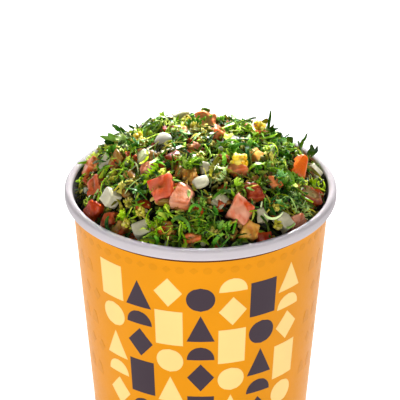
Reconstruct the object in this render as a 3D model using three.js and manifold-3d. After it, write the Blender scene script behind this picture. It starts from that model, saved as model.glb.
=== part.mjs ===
// Tabbouleh heaped in a round paper tub with a rolled rim.
// Millimetres, +Z up. The origin is the centre of the foot, on the table.

import * as THREE from "three";
import { mergeVertices } from "three/addons/utils/BufferGeometryUtils.js";
import Module from "manifold-3d";

const wasm = await Module();
wasm.setup();

// Driving dimensions of the tub
const rimRadius = 57.5;
const tubHeight = 108;
const wallTaper = 0.0725;
const paper = 0.5;
const rollWidth = 3.4;
const rollHeight = 5.4;
const rollTuck = 35;
const hemHeight = 7;
const foldRadius = 0.3;
const gap = 0.3;
const turnSteps = 48;

// Driving dimensions of the heap, whose crown stands above the rim
const edgeDrop = 4.5;
const crownRise = 24.5;
const heapRadius = 52;
const crownPower = 3;
const broadLump = { height: 1.2, lengthX: 7, startX: 0.8, lengthY: 8, startY: -0.4 };
const slantLump = { height: 0.9, length: 6, slant: 1.6, start: 1 };
const coreDepth = 1.6;
const coreShoulder = 2.5;
const coreRings = 11;
const roughness = 0.8;
const clipMargin = 0.1;
const shredWidth = 1.8;
const herbThickness = 0.9;
const shredLift = 1.6;
const bladeLift = 2.5;
const leafLift = -0.4;
const knifeError = 0.3;
const wander = 4;
const pieceSeed = 6;
const leanings = 55;

// Shares of a diced piece's length that give its height, and its lift over the heap's surface
const tomatoCut = { flatness: 0.75, lift: -1.2 };
const onionCut = { flatness: 0.55, lift: -0.2 };
const bulgurCut = { flatness: 0.8, lift: 0.2 };

// Levels and radii that follow from the sizes above
const rollRadius = rollWidth / 2;
const rollTop = tubHeight - rollRadius;
const rollBottom = tubHeight - rollHeight + rollRadius;
const rollCentre = rimRadius - rollRadius;
const slotWidth = paper + 2 * gap;
const discUnderside = hemHeight + gap;
const discTop = discUnderside + paper;
const saladFloor = discTop + gap;
const degree = Math.PI / 180;

// Radius of the wall's inner face at a height
function wallInside(z) {
  return rimRadius - rollWidth + wallTaper * (z - rollTop);
}

// Points along an arc of a profile, angles in degrees, the ends included
function arc(centreR, centreZ, radius, from, to, steps) {
  const points = [];
  for (let step = 0; step <= steps; step += 1) {
    const angle = (from + ((to - from) * step) / steps) * degree;
    points.push([centreR + radius * Math.cos(angle), centreZ + radius * Math.sin(angle)]);
  }
  return points;
}

// Merges the shared vertices and drops the triangles that close up on the axis
function weld(geometry) {
  geometry.deleteAttribute("normal");
  geometry.deleteAttribute("uv");
  const welded = mergeVertices(geometry);
  const corners = welded.index.array;
  const kept = [];
  for (let first = 0; first < corners.length; first += 3) {
    const [a, b, c] = corners.slice(first, first + 3);
    if (a !== b && b !== c && c !== a) {
      kept.push(a, b, c);
    }
  }
  welded.setIndex(kept);
  return welded;
}

// Turns a profile of [radius, height] pairs about the Z axis
function turned(profile) {
  const points = profile.map(([radius, height]) => new THREE.Vector2(radius, height));
  const geometry = new THREE.LatheGeometry(points, turnSteps);
  geometry.rotateX(Math.PI / 2);
  return weld(geometry);
}

// Cone of paper: hem folded in at the foot, rim rolled outwards at the top
function wallProfile() {
  const outside = (z) => wallInside(z) + paper;
  const hemOutside = (z) => wallInside(z) - slotWidth;
  const hemInside = (z) => hemOutside(z) - paper;
  const inner = rollRadius - paper;
  const profile = [
    [hemInside(hemHeight), hemHeight],
    [hemInside(foldRadius), foldRadius],
    [hemInside(0) + foldRadius, 0],
    [outside(0) - foldRadius, 0],
    [outside(foldRadius), foldRadius],
    [outside(rollBottom), rollBottom],
    ...arc(rollCentre, rollTop, inner, 180, 0, 3),
    ...arc(rollCentre, rollBottom, inner, 0, -90 - rollTuck, 3),
    ...arc(rollCentre, rollBottom, rollRadius, -90 - rollTuck, 0, 4),
    ...arc(rollCentre, rollTop, rollRadius, 0, 180, 6),
    [wallInside(paper), paper],
    [hemOutside(paper), paper],
    [hemOutside(hemHeight), hemHeight],
    [hemInside(hemHeight), hemHeight],
  ];
  return profile;
}

// Disc that the salad stands on, its skirt held in the slot of the hem
function baseProfile() {
  const skirtOutside = (z) => wallInside(z) - gap;
  const skirtInside = (z) => skirtOutside(z) - paper;
  const skirtFoot = paper + gap;
  return [
    [0, discUnderside],
    [skirtInside(discUnderside), discUnderside],
    [skirtInside(skirtFoot), skirtFoot],
    [skirtOutside(skirtFoot), skirtFoot],
    [skirtOutside(discTop - foldRadius), discTop - foldRadius],
    [skirtOutside(discTop) - foldRadius, discTop],
    [0, discTop],
  ];
}

// Pieces placed by hand where they show: x, y, size, turn and tip in degrees
const shownTomatoes = [
  [3, 20, 9.5, 100, 40], [-46, 8, 8, 60, 20], [-44, -10, 9, 80, 15], [-44, -22, 9, 30, 10],
  [-38, -31, 7, 75, 0], [-16, -31, 10, 12, 10], [-7, -35, 9.5, 70, 0], [16, -38, 10.5, 65, 0],
  [41, -1, 10, 95, 35], [45, -14, 9.5, 20, 10], [22, -30, 7.5, 10, 15], [27, -44, 6.5, 20, 0],
  [40, -31, 8.5, 40, 0], [-3, -48, 6.5, 0, 5], [15, -17, 9.5, 20, 15], [-4, -25, 7.5, 15, 10],
  [-21, 1, 5, 30, 30], [-22, -17, 6.5, 0, 15], [-29, -17, 6, 85, 20], [-35, -4, 6.5, 20, 25],
  [-2, -6, 5, 45, 30], [-8, 8, 5, 10, 30], [-14, 14, 5.5, 70, 10], [20, -43, 7.5, 75, 0],
  [50, -6, 4.5, 90, 0], [-33, -37, 6, 30, 0], [-14, -44, 5.5, 80, 0],
];
const shownOnions = [
  [-15, 3, 7.5, 50, 30], [-36, -24, 7.5, 15, 20], [0, -29, 6.5, 10, 15], [-24, -41, 7, 5, 0],
  [48, 8, 6, 75, 20], [34, -34, 7, 60, 5], [25, -37, 6, 120, 5], [8, -36, 6.5, 150, 0],
  [-40, 0, 5.5, 95, 25], [-8, 28, 6.5, 10, 10], [2, -21, 5.5, 95, 30], [-24, -10, 6, 5, 25],
  [29, 2, 5, 10, 30],
];
const shownBulgur = [
  [-26, 8, 6, 80, 30], [24, 20, 5.5, 30, 10], [16, -13, 7.5, 60, 0], [-30, -37, 4, 80, 0],
  [-24, -36, 4.5, 20, 0], [31, -37, 4.5, 45, 0], [-6, 23, 4, 10, 0], [0, -13, 4.5, 70, 0],
  [30, -32, 3.5, 80, 20],
];

// Stems and blades that stand proud of the outline: x, y, length, turn and tip in degrees
const shownBlades = [
  [-38, 15, 9, 150, 35], [-32, 18, 10, 160, 30], [-23, 16, 9, 10, 30], [2, 22, 6, 60, 50],
  [20, 27, 9, 35, 30], [28, 24, 12, 100, 45], [41, 15, 11, 120, 30], [46, 10, 8, 40, 20],
];

// Ranges for a random draw: the lowest value and how far above it the draw can go
const pieceSize = [0.8, 0.4];
const dicedWidth = [0.75, 0.3];
const shredLength = [0.7, 0.6];
const shredArch = [0.1, 0.15];
const shredSway = [-0.15, 0.3];
const leafReach = [0.75, 0.5];

// Scraps of leaf: points round the edge, shares of the size at their feet and tips, and waves
const leafPoints = 5;
const leafFoot = 0.28;
const leafTip = 0.5;
const leafWaveX = 0.7;
const leafWaveY = 0.8;

// Waves of the packed core's rough top, in radians for each millimetre and millimetres
const chopped = { alongX: 1.3, alongY: 1.1, bendX: 0.8, bendY: 0.9, swayX: 2, swayY: 1.5 };

// How the rest is spread over the heap
const goldenAngle = 137.508 * degree;
const extraTomatoes = { count: 36, size: 7.5, reach: 46, clear: 10, seed: 11 };
const extraOnions = { count: 22, size: 5.5, reach: 47, clear: 9.5, seed: 23 };
const extraBulgur = { count: 20, size: 4, reach: 48, clear: 7, seed: 37 };
const leaves = { count: 24, size: 9, reach: 48, clear: 0, seed: 53 };
const shreds = { count: 44, size: 11, reach: 49, clear: 0, seed: 71 };

// Picks from a range
function pick([lowest, above], random) {
  return lowest + above * random();
}

// Draws the same row of numbers from the same seed
function randomFrom(seed) {
  let state = seed;
  return () => {
    state = (Math.imul(state, 1664525) + 1013904223) >>> 0;
    return state / 2 ** 32;
  };
}

// Height of the heap's outline over a place, a dome with broad lumps that fade at the wall
function heapTop(x, y) {
  const share = Math.hypot(x, y) / heapRadius;
  const fade = Math.max(1 - share ** 4, 0);
  const { height, lengthX, startX, lengthY, startY } = broadLump;
  const broad = height * Math.sin(x / lengthX + startX) * Math.cos(y / lengthY + startY);
  const slant = (x + slantLump.slant * y) / slantLump.length + slantLump.start;
  const dome = crownRise * (1 - share ** crownPower);
  return tubHeight - edgeDrop + dome + fade * (broad + slantLump.height * Math.sin(slant));
}

// Height of the packed core under the pieces, rough like chopped herbs
function coreTop(x, y) {
  const { alongX, alongY, bendX, bendY, swayX, swayY } = chopped;
  const across = alongX * x + swayX * Math.sin(bendY * y);
  const along = alongY * y - swayY * Math.sin(bendX * x);
  return heapTop(x, y) - coreDepth + roughness * Math.sin(across) * Math.cos(along);
}

// Core that fills the tub, its top drawn as rings and then raised to the heap's surface
function core() {
  const edge = tubHeight - edgeDrop - coreDepth - coreShoulder;
  const profile = [
    [0, saladFloor],
    [wallInside(saladFloor) - gap, saladFloor],
    [wallInside(edge) - gap, edge],
  ];
  for (let ring = coreRings; ring >= 0; ring -= 1) {
    profile.push([(heapRadius * ring) / coreRings, tubHeight]);
  }
  const geometry = turned(profile);
  const place = geometry.attributes.position;
  for (let index = 0; index < place.count; index += 1) {
    if (place.getZ(index) > edge + gap) {
      place.setZ(index, coreTop(place.getX(index), place.getY(index)));
    }
  }
  return geometry;
}

// Solid cone just inside the core's side, which the pieces are trimmed to
function room() {
  const radius = (z) => wallInside(z) - gap - clipMargin;
  const ceiling = tubHeight + 2 * crownRise;
  return turned([
    [0, saladFloor],
    [radius(saladFloor), saladFloor],
    [radius(rollTop), rollTop],
    [radius(rollTop), ceiling],
    [0, ceiling],
  ]);
}

// Knocks each corner of a piece about by a share of its size
function jitter(geometry, random, amount) {
  const place = geometry.attributes.position;
  for (let index = 0; index < place.count; index += 1) {
    const shift = [0, 1, 2].map(() => (random() - 0.5) * amount);
    place.setXYZ(
      index,
      place.getX(index) + shift[0],
      place.getY(index) + shift[1],
      place.getZ(index) + shift[2],
    );
  }
}

// Diced piece, with the uneven corners that a knife leaves
function diced(random, size, flatness) {
  const width = size * pick(dicedWidth, random);
  const block = weld(new THREE.BoxGeometry(size, width, size * flatness));
  jitter(block, random, size * knifeError);
  return block;
}

// Shred of parsley, a strip that arches along its length
function shred(random, size) {
  const length = size * pick(shredLength, random);
  const arch = length * pick(shredArch, random);
  const sway = length * pick(shredSway, random);
  const strip = weld(new THREE.BoxGeometry(length, shredWidth, herbThickness, 2, 1, 1));
  const place = strip.attributes.position;
  for (let index = 0; index < place.count; index += 1) {
    const along = (2 * place.getX(index)) / length;
    place.setY(index, place.getY(index) + sway * along);
    place.setZ(index, place.getZ(index) - arch * along * along);
  }
  return strip;
}

// Scrap of parsley leaf, five ragged points on a thin wavy sheet
function leaf(random, size) {
  const outline = new THREE.Shape();
  for (let corner = 0; corner < 2 * leafPoints; corner += 1) {
    const angle = (corner * Math.PI) / leafPoints;
    const radius = size * (corner % 2 ? leafFoot : leafTip) * pick(leafReach, random);
    const step = [radius * Math.cos(angle), radius * Math.sin(angle)];
    if (corner === 0) {
      outline.moveTo(...step);
    } else {
      outline.lineTo(...step);
    }
  }
  const sheet = new THREE.ExtrudeGeometry(outline, { depth: herbThickness, bevelEnabled: false });
  const blade = weld(sheet);
  const phase = 2 * Math.PI * random();
  const place = blade.attributes.position;
  for (let index = 0; index < place.count; index += 1) {
    const ripple = Math.sin(place.getX(index) * leafWaveX + phase);
    const furrow = Math.cos(place.getY(index) * leafWaveY);
    place.setZ(index, place.getZ(index) + ripple + furrow);
  }
  return blade;
}

// Sets a piece on the heap, turned, tipped and leaning with the slope
function settle(piece, x, y, lift, turn, tip) {
  const slopeX = (heapTop(x + 1, y) - heapTop(x - 1, y)) / 2;
  const slopeY = (heapTop(x, y + 1) - heapTop(x, y - 1)) / 2;
  const normal = new THREE.Vector3(-slopeX, -slopeY, 1).normalize();
  const lean = new THREE.Quaternion().setFromUnitVectors(new THREE.Vector3(0, 0, 1), normal);
  piece.rotateY(-tip);
  piece.rotateZ(turn);
  piece.applyQuaternion(lean);
  piece.translate(x + normal.x * lift, y + normal.y * lift, heapTop(x, y) + normal.z * lift);
  return piece;
}

// Places spread by the golden angle over the heap, clear of the pieces that show
function spread({ count, size, reach, clear, seed }) {
  const random = randomFrom(seed);
  const rows = [];
  for (let index = 0; index < count; index += 1) {
    const radius = reach * Math.sqrt((index + 0.5) / count);
    const angle = index * goldenAngle + seed;
    const x = radius * Math.cos(angle) + wander * (random() - 0.5);
    const y = radius * Math.sin(angle) + wander * (random() - 0.5);
    const length = size * pick(pieceSize, random);
    const turn = 360 * random();
    const tip = leanings * (random() - 0.5);
    if ([...shownTomatoes, ...shownOnions].every(([u, v]) => Math.hypot(x - u, y - v) > clear)) {
      rows.push([x, y, length, turn, tip]);
    }
  }
  return rows;
}

// All pieces that are fused on, each settled in its place
function pieces() {
  const random = randomFrom(pieceSeed);
  const settled = [];
  const add = (rows, shape, lift) => {
    for (const [x, y, size, turn, tip] of rows) {
      settled.push(settle(shape(random, size), x, y, lift, turn * degree, tip * degree));
    }
  };
  const cutTo = (flatness) => (draw, size) => diced(draw, size, flatness);
  add([...shownTomatoes, ...spread(extraTomatoes)], cutTo(tomatoCut.flatness), tomatoCut.lift);
  add([...shownOnions, ...spread(extraOnions)], cutTo(onionCut.flatness), onionCut.lift);
  add([...shownBulgur, ...spread(extraBulgur)], cutTo(bulgurCut.flatness), bulgurCut.lift);
  add(spread(leaves), leaf, leafLift);
  add(spread(shreds), shred, shredLift);
  add(shownBlades, shred, bladeLift);
  return settled;
}

// Hands a closed geometry to the solid library
function solid(geometry) {
  return new wasm.Manifold(
    new wasm.Mesh({
      numProp: 3,
      vertProperties: new Float32Array(geometry.attributes.position.array),
      triVerts: new Uint32Array(geometry.index.array),
    }),
  );
}

// Core and pieces as one body, without loose scraps or sealed hollows
function heap() {
  const loose = pieces().map(solid).reduce((joined, piece) => joined.add(piece));
  const joined = solid(core()).add(loose.intersect(solid(room())));
  const bodies = joined.decompose();
  const whole = bodies.reduce((best, body) => (body.volume() > best.volume() ? body : best));
  const mesh = whole.getMesh();
  const geometry = new THREE.BufferGeometry();
  geometry.setAttribute("position", new THREE.BufferAttribute(mesh.vertProperties, 3));
  geometry.setIndex(new THREE.BufferAttribute(mesh.triVerts, 1));
  return geometry;
}

const printedBoard = new THREE.MeshStandardMaterial({ color: 0xee9d34, roughness: 0.55 });
const plainBoard = new THREE.MeshStandardMaterial({ color: 0xf1eeea, roughness: 0.7 });
const choppedSalad = new THREE.MeshStandardMaterial({ color: 0x5f7328, roughness: 0.6 });

// Adds one named sub-part
function addPart(name, geometry, material) {
  const mesh = new THREE.Mesh(geometry, material);
  mesh.name = name;
  group.add(mesh);
}

const group = new THREE.Group();
addPart("tub_wall", turned(wallProfile()), printedBoard);
addPart("tub_base", turned(baseProfile()), plainBoard);
addPart("salad_heap", heap(), choppedSalad);

export default group;
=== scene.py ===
import math

import bpy
import numpy as np
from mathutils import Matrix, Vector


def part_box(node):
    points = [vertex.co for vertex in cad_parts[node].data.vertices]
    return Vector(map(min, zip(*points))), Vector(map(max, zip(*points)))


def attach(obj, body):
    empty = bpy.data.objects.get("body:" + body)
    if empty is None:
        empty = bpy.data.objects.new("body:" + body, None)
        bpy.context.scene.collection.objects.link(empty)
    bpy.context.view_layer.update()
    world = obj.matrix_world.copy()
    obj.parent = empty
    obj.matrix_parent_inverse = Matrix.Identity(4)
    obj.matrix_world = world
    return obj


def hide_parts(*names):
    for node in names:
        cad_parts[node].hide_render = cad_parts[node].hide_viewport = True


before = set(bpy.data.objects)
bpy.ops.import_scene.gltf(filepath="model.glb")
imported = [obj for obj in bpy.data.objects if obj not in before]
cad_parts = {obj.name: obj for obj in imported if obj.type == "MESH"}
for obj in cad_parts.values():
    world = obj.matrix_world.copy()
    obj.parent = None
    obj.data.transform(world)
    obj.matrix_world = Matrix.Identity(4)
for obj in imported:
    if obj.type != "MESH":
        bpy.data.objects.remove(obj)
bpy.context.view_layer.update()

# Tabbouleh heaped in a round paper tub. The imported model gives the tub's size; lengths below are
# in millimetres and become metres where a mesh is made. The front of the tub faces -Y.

MM = 0.001
BODY = "root"

# Tub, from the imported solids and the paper's own sizes
TUB_HIGH = np.array(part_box("tub_wall")[1]) / MM
RIM_RADIUS = TUB_HIGH[0]
TUB_HEIGHT = TUB_HIGH[2]
WALL_TAPER = 0.0725
PAPER = 0.5
ROLL_WIDTH = 3.4
ROLL_HEIGHT = 5.4
ROLL_TUCK = 35
HEM_HEIGHT = 7
FOLD_RADIUS = 0.3
GAP = 0.3
ROLL_RADIUS = ROLL_WIDTH / 2
ROLL_TOP = TUB_HEIGHT - ROLL_RADIUS
ROLL_BOTTOM = TUB_HEIGHT - ROLL_HEIGHT + ROLL_RADIUS
DISC_UNDERSIDE = HEM_HEIGHT + GAP
DISC_TOP = DISC_UNDERSIDE + PAPER
SALAD_FLOOR = DISC_TOP + GAP
TURN_STEPS = 240
TURNS = np.arange(TURN_STEPS) * 2 * math.pi / TURN_STEPS
SEAM_ANGLE = 90
SEAM_WIDTH = 9
SEAM_STEP = 0.25

# Print on the tub, with heights over the table and places along the wall from the front's middle
SHAPE_COLUMNS = 7
SHAPE_PITCH = 13.0
SHAPE_WIDTH = 11.5
SHAPE_HEIGHTS = {"bar": 17, "disc": 11.5, "wedge": 13, "half": 6.5, "lozenge": 14}
SHAPES_LOW, SHAPES_HIGH = 20, 92
# A brown band just under the roll: painted shadow of the rim roll, laid as print
RIM_SHADOW_LOW, RIM_SHADOW_HIGH = 100.75, 102.4
BEADS = 60
BEAD_HEIGHT = 96.4
TONE_HEIGHTS = (84, 71, 58, 45, 32)
TONE_PLACES = (-62, -54, 54, 62)
INK_LIFT = 0.07
INK_THICKNESS = 0.05

# Heap, the same surface as the solid's
EDGE_DROP = 4.5
CROWN_RISE = 24.5
HEAP_RADIUS = 52
CROWN_POWER = 3
HEAP_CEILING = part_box("salad_heap")[1][2] / MM - 0.1
HEAP_REACH = 53.2
CORE_DEPTH = 3.8
CORE_RINGS = 90
WANDER = 4
LEANINGS = 55
KNIFE_ERROR = 0.3
PIECE_SEED = 6

# Shares of a diced piece's length that give its height, and its lift over the heap's surface
TOMATO_CUT = dict(flatness=0.75, lift=-1.2)
ONION_CUT = dict(flatness=0.55, lift=-0.2)

# Pieces placed where they show: x, y, size, turn and tip in degrees
SHOWN_TOMATOES = [
    (3, 20, 9.5, 100, 40), (-46, 8, 8, 60, 20), (-44, -10, 9, 80, 15), (-44, -22, 9, 30, 10),
    (-38, -31, 7, 75, 0), (-16, -31, 10, 12, 10), (-7, -35, 9.5, 70, 0), (16, -38, 10.5, 65, 0),
    (41, -1, 10, 95, 35), (45, -14, 9.5, 20, 10), (22, -30, 7.5, 10, 15), (27, -44, 6.5, 20, 0),
    (40, -31, 8.5, 40, 0), (-3, -48, 6.5, 0, 5), (15, -17, 9.5, 20, 15), (-4, -25, 7.5, 15, 10),
    (-21, 1, 5, 30, 30), (-22, -17, 6.5, 0, 15), (-29, -17, 6, 85, 20), (-35, -4, 6.5, 20, 25),
    (-2, -6, 5, 45, 30), (-8, 8, 5, 10, 30), (-14, 14, 5.5, 70, 10), (20, -43, 7.5, 75, 0),
    (50, -6, 4.5, 90, 0), (-33, -37, 6, 30, 0), (-14, -44, 5.5, 80, 0),
]
SHOWN_ONIONS = [
    (-15, 3, 7.5, 50, 30), (-36, -24, 7.5, 15, 20), (0, -29, 6.5, 10, 15), (-24, -41, 7, 5, 0),
    (48, 8, 6, 75, 20), (34, -34, 7, 60, 5), (25, -37, 6, 120, 5), (8, -36, 6.5, 150, 0),
    (-40, 0, 5.5, 95, 25), (-8, 28, 6.5, 10, 10), (2, -21, 5.5, 95, 30), (-24, -10, 6, 5, 25),
    (29, 2, 5, 10, 30),
]
SHOWN_BULGUR = [
    (-26, 4.5, 6, 80, 30), (24, 17, 5.5, 30, 10), (16, -16, 7.5, 60, 0), (-30, -37, 4, 80, 0),
    (-24, -36, 4.5, 20, 0), (31, -37, 4.5, 45, 0), (-6, 23, 4, 10, 0), (0, -13, 4.5, 70, 0),
    (30, -32, 3.5, 80, 20),
]
SHOWN_BLADES = [
    (-38, 15, 9, 150, 35), (-32, 18, 10, 160, 30), (-23, 16, 9, 10, 30), (2, 22, 6, 60, 50),
    (20, 27, 9, 35, 30), (28, 24, 12, 100, 45), (41, 15, 11, 120, 30), (46, 10, 8, 40, 20),
]
# Sprigs on the outline: x, y, height over the rim, run along X, rise, width and the kind of green
SHOWN_SPRIGS = [
    (-32, 20, 12.8, -5.9, 5.3, 1.9, "deep"), (-31, 20, 12.8, -3.8, 4.3, 1.2, "mid"),
    (-35, 18, 9.5, -7.8, 4.1, 2.6, "mint"), (-35, 17, 9.0, -6.4, 2.4, 2.0, "deep"),
    (-36, 18, 9.9, -3.7, 5.0, 2.4, "mint"), (-34, 18, 10.4, -3.3, 3.8, 1.4, "mid"),
    (-27, 20, 14.7, -3.8, 3.1, 1.4, "deep"), (-26, 20, 14.7, -1.7, 3.6, 1.1, "mid"),
    (-23, 22, 13.7, 8.2, 6.4, 1.8, "blue"), (-21, 22, 15.1, -1.5, 3.3, 1.3, "blue"),
    (-19, 23, 15.6, 2.6, 4.1, 1.4, "deep"), (-17, 24, 16.5, 3.0, 0.7, 1.2, "blue"),
    (1, 23, 21.8, 1.7, 3.1, 3.2, "deep"), (3, 23, 21.3, -1.3, 2.8, 2.6, "blue"),
    (2, 23, 22.2, 2.1, 1.7, 2.4, "olive"), (13, 22, 16.1, -3.0, 3.6, 1.4, "deep"),
    (19, 27, 12.6, -0.9, 4.8, 2.2, "blue"), (20, 27, 12.6, -0.3, 4.1, 1.6, "deep"),
    (21, 27, 12.1, 0.2, 5.3, 2.0, "deep"), (25, 25, 13.6, 3.8, 4.5, 2.6, "olive"),
    (29, 24, 10.7, 0.9, 12.0, 1.1, "deep"), (29, 24, 10.3, 2.3, 5.8, 1.6, "mid"),
    (32, 22, 9.8, 2.5, 3.4, 2.6, "mid"), (37, 18, 10.9, 2.5, 1.4, 3.0, "mid"),
    (42, 14, 10.1, 3.7, 6.9, 1.2, "deep"), (43, 14, 9.6, 0.3, 3.8, 1.6, "mid"),
    (47, 10, 6.8, 2.8, 6.2, 1.5, "deep"), (47, 10, 7.3, 0.3, 6.0, 2.2, "mid"),
    (46, 11, 7.3, 0.3, 3.8, 1.4, "mid"),
]
GOLDEN_ANGLE = math.radians(137.508)
EXTRA_TOMATOES = dict(count=36, size=7.5, reach=46, clear=10, seed=11)
EXTRA_ONIONS = dict(count=22, size=5.5, reach=47, clear=9.5, seed=23)
EXTRA_BULGUR = dict(count=20, size=4, reach=48, clear=7, seed=37)

# Dark gaps between the herbs, where the core dips and its painted shade shows, and curly tufts: x, y, size
# and the kind of green
SHOWN_GAPS = [
    (-9, -14, 5), (-30, -28, 5), (5, -29, 4), (27, -28, 5), (-27, -45, 4), (-20, -38, 4), (11, -27, 3),
    (20, -12, 3), (-46, -2, 3), (-10, -24, 3), (8, -42, 4), (36, -8, 3),
]
EXTRA_GAPS = dict(count=60, size=3.2, reach=48, clear=7, seed=91)
SHOWN_TUFTS = [
    (0, -37, 7, "deep"), (9, -46, 7, "deep"), (-8, -42, 7, "mid"), (3, -43, 8, "deep"), (-18, -29, 5, "mid"),
    (28, 0, 7, "lime"), (31, -21, 9, "blue"), (-20, -41, 5, "mid"), (-34, -15, 7, "olive"),
    (-46, -16, 5, "mid"), (14, -28, 6, "mid"), (36, 8, 7, "mid"), (-22, -40.5, 5.5, "lime"),
    (-1, -36, 4.5, "olive"), (-8, -1, 7, "olive"), (33, 14, 7, "mid"), (-30, -8, 6, "lime"),
    (10, 4, 6, "mid"), (24, -18, 6, "deep"), (-38, 6, 6, "olive"), (44, -22, 6, "deep"),
    (-26, -24, 6, "blue"), (2, 26, 5, "blue"), (-34, 12, 7, "mint"),
]

# Camera, fitted to the rim's two edges and the wall's sides
PHOTO_SIZE = 400
CAMERA_DISTANCE = 900
CAMERA_RISE = 28.0
CAMERA_PITCH = 28.45
CAMERA_SIDE = -0.25
FOCAL_PIXELS = 2130
SENSOR = 36

# Studio: the floor in metres; lights as place and aim in millimetres, size in metres, watts, beam in degrees
FLOOR_RADIUS = 8.0
FLOOR_EDGE = 0.9
FLOOR_TURNS = 96
TUB_MIDDLE = (0, 0, 90)
CROWN = (0, 6, 124)
LIGHTS = {
    "left_light": ((-420, -330, 240), TUB_MIDDLE, (0.35, 0.6), 0.8, 180),
    "right_light": ((440, -300, 300), TUB_MIDDLE, (0.25, 0.4), 0.75, 180),
    "back_light": ((40, 440, 340), CROWN, (0.09, 0.09), 6.4, 180),
    "crown_light": ((40, 340, 480), CROWN, (0.055, 0.055), 0.056, 10.5),
    "front_light": ((-120, -590, 90), TUB_MIDDLE, (0.6, 0.2), 1.4, 180),
}


def srgb(red, green, blue):
    """Linear colour of a display colour given in 0 to 255"""
    shares = np.array([red, green, blue]) / 255
    return np.where(shares <= 0.04045, shares / 12.92, ((shares + 0.055) / 1.055) ** 2.4)


def palette(*colours):
    """Linear colours, a row for each display colour"""
    return np.array([srgb(*colour) for colour in colours])


def draws(seed):
    """The same row of numbers from the same seed as the solids use"""
    state = seed
    while True:
        state = (state * 1664525 + 1013904223) & 0xFFFFFFFF
        yield state / 2**32


# Materials

class Paint:
    """A material and the nodes before its shader"""

    def __init__(self, name):
        self.material = bpy.data.materials.new(name)
        self.material.use_nodes = True
        self.tree = self.material.node_tree
        self.shader = self.tree.nodes["Principled BSDF"]

    def fill(self, node, values):
        """Sets a node's inputs: a socket is linked, and a number or a colour is put in"""
        for name, value in values.items():
            if isinstance(value, bpy.types.NodeSocket):
                self.tree.links.new(value, node.inputs[name])
            else:
                node.inputs[name].default_value = value

    def node(self, kind, values, output):
        """The output of a new node with the given inputs"""
        node = self.tree.nodes.new(kind)
        self.fill(node, values)
        return node.outputs[output]

    def noise(self, scale, detail=3.0):
        place = self.node("ShaderNodeTexCoord", {}, "Object")
        values = {"Vector": place, "Scale": scale, "Detail": detail, "Roughness": 0.55}
        return self.node("ShaderNodeTexNoise", values, "Fac")

    def ramp(self, value, low, high, start=0.0, end=1.0):
        values = {"Value": value, "From Min": low, "From Max": high, "To Min": start, "To Max": end}
        return self.node("ShaderNodeMapRange", values, "Result")

    def mixed(self, share, first, second):
        blend = self.tree.nodes.new("ShaderNodeMix")
        blend.data_type = "RGBA"
        self.fill(blend, {"Factor": share, "A": first, "B": second})
        return blend.outputs["Result"]

    def bump(self, height, strength, distance):
        """Relief from a height, its depth in millimetres"""
        values = {"Height": height, "Strength": strength, "Distance": distance * MM}
        return self.node("ShaderNodeBump", values, "Normal")


def moist(name, pale, share, grain, roughness, coat, subsurface, reach, bump=0.25):
    """Wet food in the piece's own tint, mottled with a share of another colour; reach in millimetres"""
    paint = Paint(name)
    tint = paint.tree.nodes.new("ShaderNodeAttribute")
    tint.attribute_name = "tint"
    patch = paint.ramp(paint.noise(grain), 0.42, 0.68, 0.0, share)
    fine = paint.noise(grain * 3)
    paint.fill(paint.shader, {
        "Base Color": paint.mixed(patch, tint.outputs["Color"], (*pale, 1)),
        "Roughness": paint.ramp(fine, 0.3, 0.7, roughness - 0.1, roughness + 0.12),
        "Specular IOR Level": 0.12,
        "Coat Weight": coat,
        "Coat Roughness": 0.2,
        "Subsurface Weight": subsurface,
        "Subsurface Radius": reach,
        "Subsurface Scale": MM,
        "Normal": paint.bump(fine, bump, 0.3),
    })
    return paint.material


def paper(name, colour, kind):
    """Board of one kind with a fibre grain and a faint clouding of its colour"""
    paint = Paint(name)
    fibre = paint.noise(kind["fibre"], 4.0)
    cloud = paint.ramp(paint.noise(kind["cloud"]), *kind["edges"])
    paint.fill(paint.shader, {
        "Base Color": paint.mixed(cloud, (*colour * kind["shade"], 1), (*colour, 1)),
        "Roughness": paint.ramp(fibre, 0.3, 0.7, *kind["roughness"]),
        "Specular IOR Level": kind["specular"],
        "Normal": paint.bump(fibre, kind["bump"], kind["depth"]),
    })
    return paint.material


# Kinds of board: scales of fibre and clouds, the clouds' edges and shade, and the relief in millimetres
PLAIN = dict(
    fibre=900.0, cloud=60.0, edges=(0.3, 0.7), shade=0.95, roughness=(0.69, 0.81), specular=0.15, bump=0.12,
    depth=0.05,
)
SATIN = dict(
    fibre=700.0, cloud=45.0, edges=(0.25, 0.75), shade=0.93, roughness=(0.31, 0.43), specular=0.08, bump=0.1,
    depth=0.04,
)
ORANGE = srgb(222, 142, 10)
printed_orange = paper("printed_orange", ORANGE, SATIN)
INKS = {
    "plum": paper("printed_plum", srgb(66, 54, 62), SATIN),
    "cream": paper("printed_cream", srgb(244, 208, 132), SATIN),
    "tone": paper("printed_tone", ORANGE * 0.92, SATIN),
    # Brown ink for the band under the roll, which is painted shadow of the rim
    "brown": paper("printed_rim_shadow", srgb(84, 44, 20), SATIN),
}
white_board = paper("white_board", srgb(194, 187, 191), PLAIN)
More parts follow.
